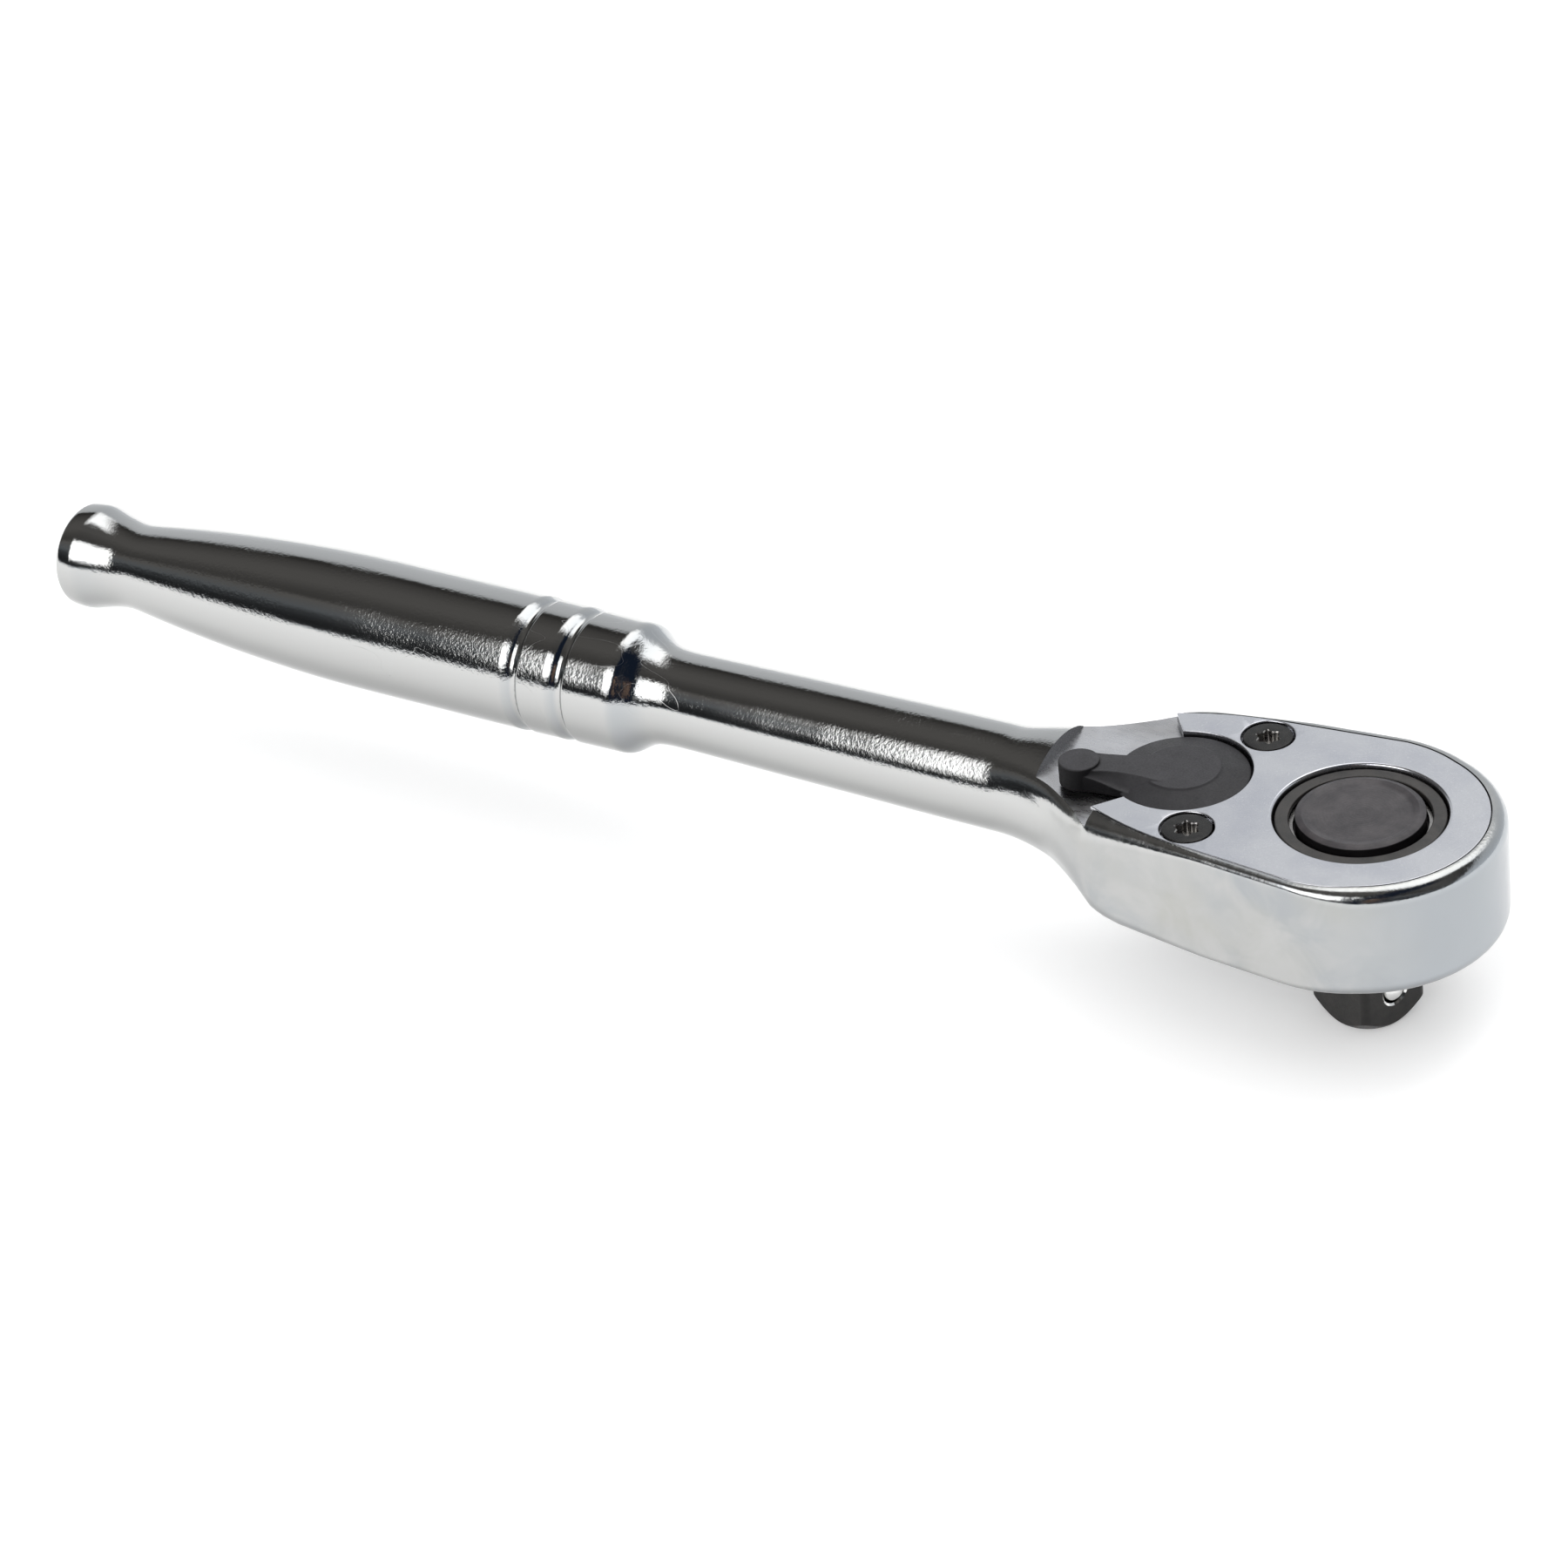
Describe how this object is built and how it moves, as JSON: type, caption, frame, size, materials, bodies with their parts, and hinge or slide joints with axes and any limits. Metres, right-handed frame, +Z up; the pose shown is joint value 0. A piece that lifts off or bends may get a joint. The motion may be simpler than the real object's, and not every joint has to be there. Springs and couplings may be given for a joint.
{
  "type": "ratchet wrench",
  "caption": "Pear-head quick-release ratchet wrench with a square drive, reversing lever, push button and round swelling steel handle.",
  "frame": {"origin": "centre of the drive square's end face, on the drive axis", "axes": "+Z up through the release button, +X from the handle to the nose of the head, so the handle runs along -X"},
  "size_m": [0.2063, 0.0334, 0.0293],
  "materials": {
    "chrome_body": "polished chrome plating over forged steel, lightly scratched",
    "satin_plate": "satin chrome plating on a flat ground plate",
    "screw_black": "glossy black oxide",
    "lever_black": "fine grained matte black coating on cast metal",
    "drive_black": "satin black oxide",
    "button_black": "turned face with satin black oxide",
    "inner_steel": "hardened and ground, oiled",
    "spring_wire": "drawn spring steel, oiled",
    "ball_steel": "polished bearing steel"
  },
  "bodies": {
    "handle": {"handle_body": "chrome_body", "cover_plate": "satin_plate", "cover_screw_near": "screw_black", "cover_screw_far": "screw_black", "pawl_pin": "inner_steel", "friction_ring": "spring_wire"},
    "lever": {"reversing_lever": "lever_black", "pawl_plunger": "inner_steel", "plunger_spring": "spring_wire"},
    "pawl_arm": {"pawl": "inner_steel"},
    "drive": {"drive_gear": "drive_black", "button_spring": "spring_wire", "button_retaining_ring": "spring_wire"},
    "button": {"release_button": "button_black", "release_pin": "inner_steel"},
    "ball": {"detent_ball": "ball_steel"}
  },
  "joints": [
    {"name": "drive_spin", "type": "hinge", "parent": "handle", "child": "drive", "pos_m": [0, 0, 0], "axis": [0, 0, 1], "continuous": true},
    {"name": "lever_turn", "type": "hinge", "parent": "handle", "child": "lever", "pos_m": [-0.0229, 0, 0.0203], "axis": [0, 0, 1], "range_deg": [-51, 0]},
    {"name": "pawl_rock", "type": "hinge", "parent": "handle", "child": "pawl_arm", "pos_m": [-0.016, 0, 0.0203], "axis": [0, 0, 1], "range_deg": [0, 7]},
    {"name": "button_press", "type": "slide", "parent": "drive", "child": "button", "axis": [0, 0, -1], "range_m": [0, 0.002], "stiffness_N_per_m": 900, "springref_m": -0.003, "deforming": ["button_spring"]},
    {"name": "ball_retract", "type": "slide", "parent": "drive", "child": "ball", "axis": [-0.9272, 0.3746, 0], "range_m": [0, 0.00075]}
  ],
  "couplings": [
    {"joint": "pawl_rock", "follows": "lever_turn", "ratio": -0.13725},
    {"joint": "ball_retract", "follows": "button_press", "ratio": 0.375}
  ]
}
